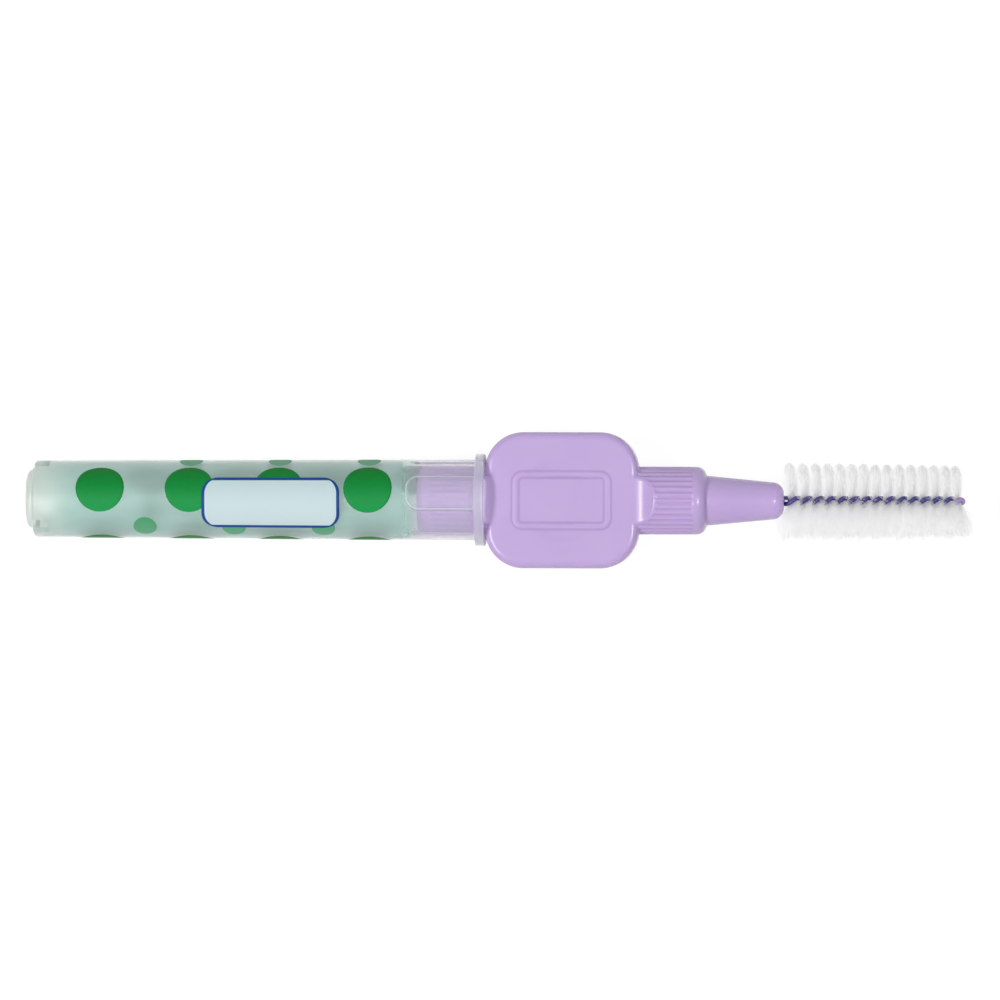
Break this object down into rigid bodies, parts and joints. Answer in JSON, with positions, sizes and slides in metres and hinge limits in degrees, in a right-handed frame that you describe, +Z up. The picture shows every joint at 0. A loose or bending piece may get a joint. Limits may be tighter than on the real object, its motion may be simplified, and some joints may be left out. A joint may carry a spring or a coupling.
{
  "type": "interdental brush",
  "caption": "Interdental brush with a flat grip pad, ribbed barrels, a twisted coated wire with screw-shaped bristles, and a push-on cap that lengthens the handle.",
  "frame": {"origin": "on the table that the brush lies on, under the middle of its whole length", "axes": "+X along the brush from the cap's closed end to the wire's tip, +Y across the grip pad, +Z up from the table, square to the pad's faces"},
  "size_m": [0.0972, 0.014, 0.0095],
  "materials": {
    "handle_plastic": "satin moulded lilac polypropylene",
    "wire_steel": "drawn stainless wire",
    "coating_plastic": "smooth violet plastic coating",
    "nylon": "fine white nylon filaments",
    "cap_plastic": "translucent natural polypropylene with a printed pattern"
  },
  "bodies": {
    "brush": {"handle": "handle_plastic", "steel_wire": "wire_steel", "wire_coating": "coating_plastic", "bristles": "nylon"},
    "cap": {"cap": "cap_plastic"}
  },
  "joints": [
    {"name": "cap_slide", "type": "slide", "parent": "brush", "child": "cap", "axis": [-1, 0, 0], "range_m": [0, 0.012]}
  ]
}
